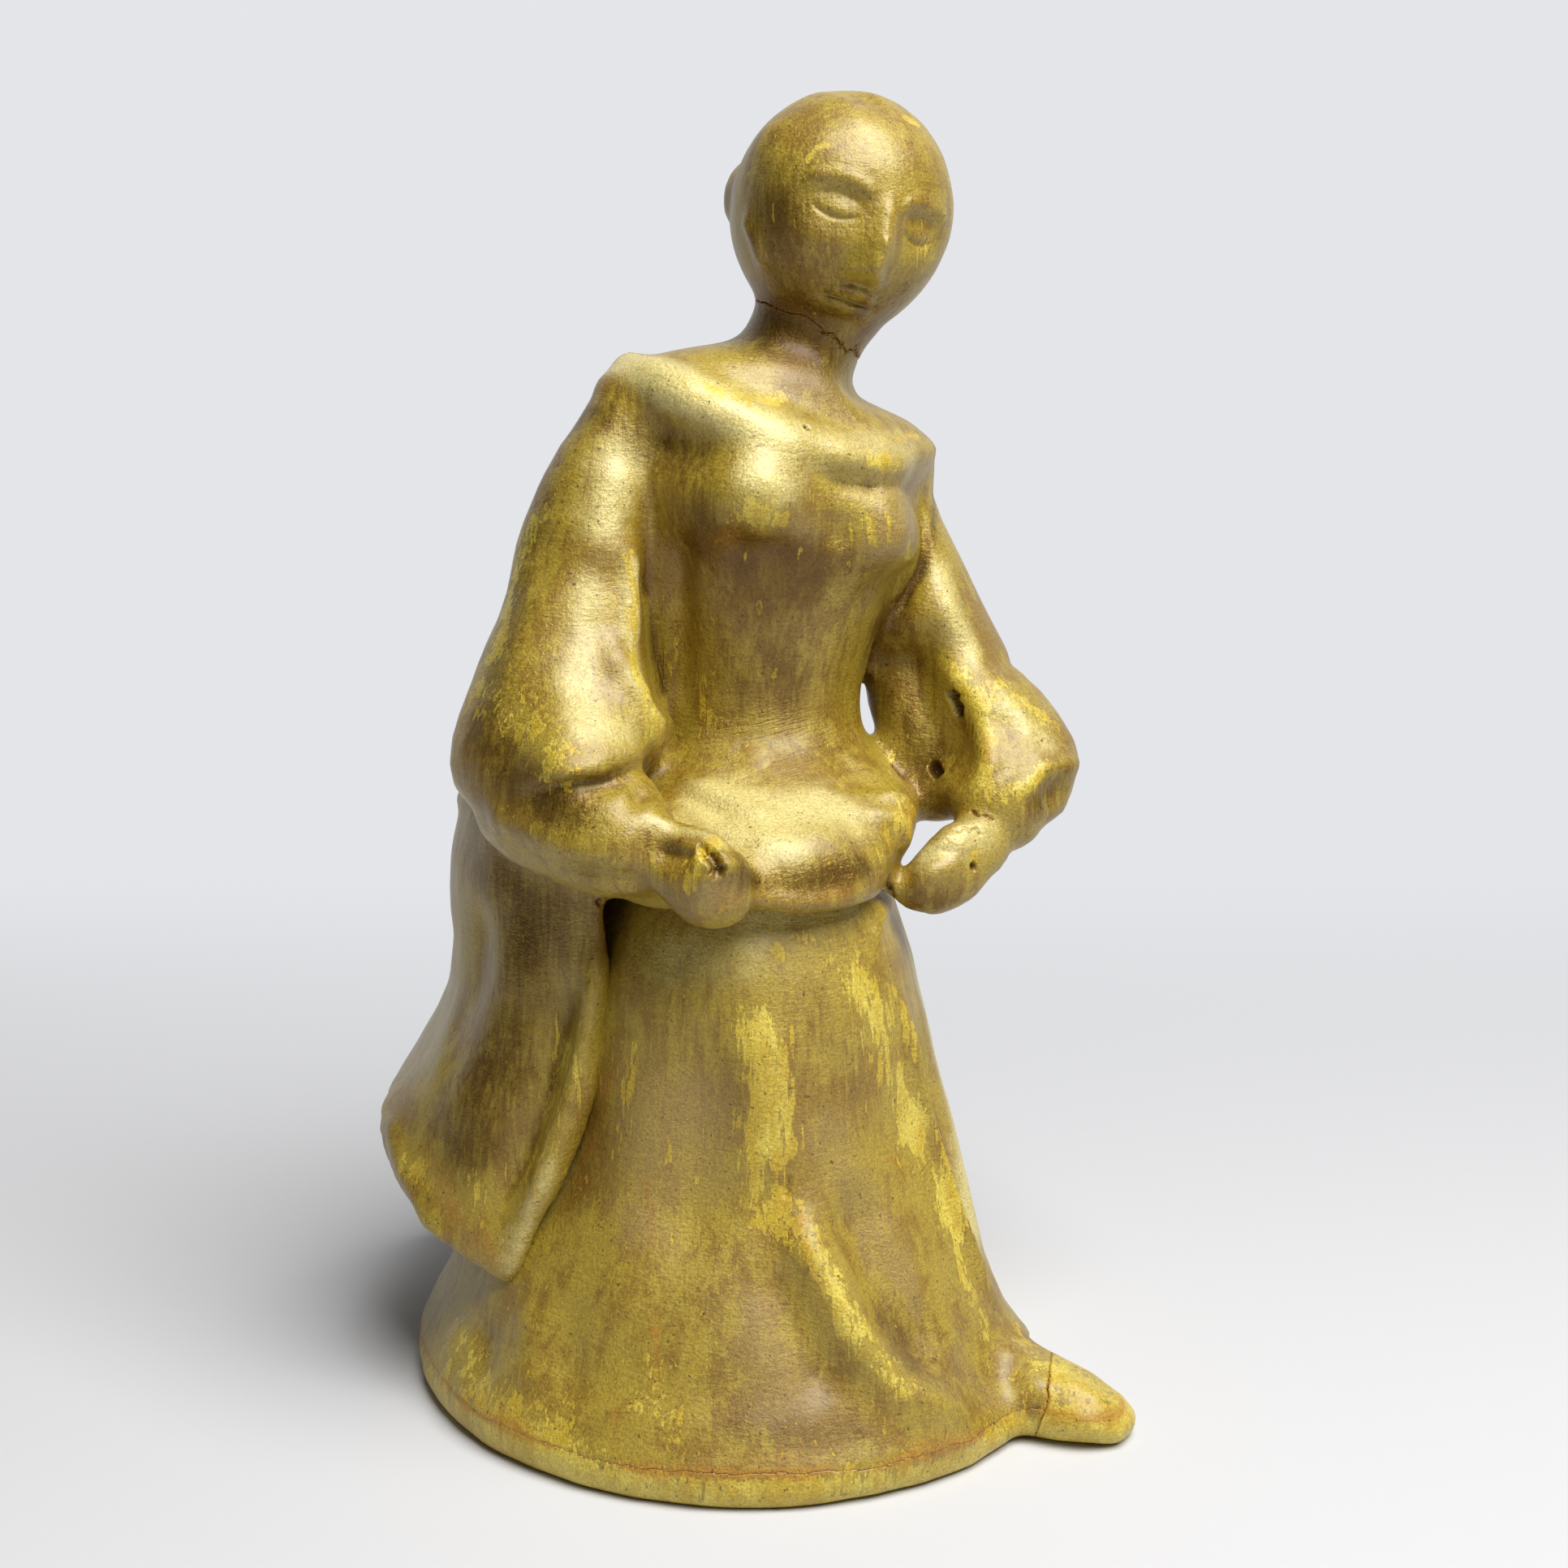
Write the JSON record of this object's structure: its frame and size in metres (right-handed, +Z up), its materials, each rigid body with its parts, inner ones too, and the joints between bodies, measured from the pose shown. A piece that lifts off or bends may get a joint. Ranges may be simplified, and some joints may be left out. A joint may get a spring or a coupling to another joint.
{
  "type": "clay figurine",
  "caption": "Standing clay figurine of a lady in a long gown with full sleeves, hip drape and hanging overskirt, worn gold finish, for display",
  "frame": {"origin": "middle of the base disc's flat underside, on the table", "axes": "+Z up; -Y towards the display side, the side in the picture; +X to the right of someone looking at the display side"},
  "size_m": [0.0964, 0.0895, 0.1597],
  "materials": {
    "gilded_clay": "worn satin gold paint over yellow clay",
    "bare_clay": "yellow clay with the gold rubbed off",
    "armature_wire": "bare drawn wire",
    "crumpled_foil": "crumpled kitchen foil"
  },
  "bodies": {
    "root": {"base_disc": "bare_clay", "skirt": "gilded_clay", "shoe": "bare_clay", "overskirt_train": "gilded_clay", "peplum": "gilded_clay", "bodice": "gilded_clay", "bertha_collar": "gilded_clay", "neck_yoke": "gilded_clay", "head": "gilded_clay", "hair_bun": "gilded_clay", "right_sleeve": "gilded_clay", "left_sleeve": "gilded_clay", "right_hand": "bare_clay", "left_hand": "bare_clay", "spine_wire": "armature_wire", "arm_wire": "armature_wire", "foil_core": "crumpled_foil"}
  },
  "joints": []
}
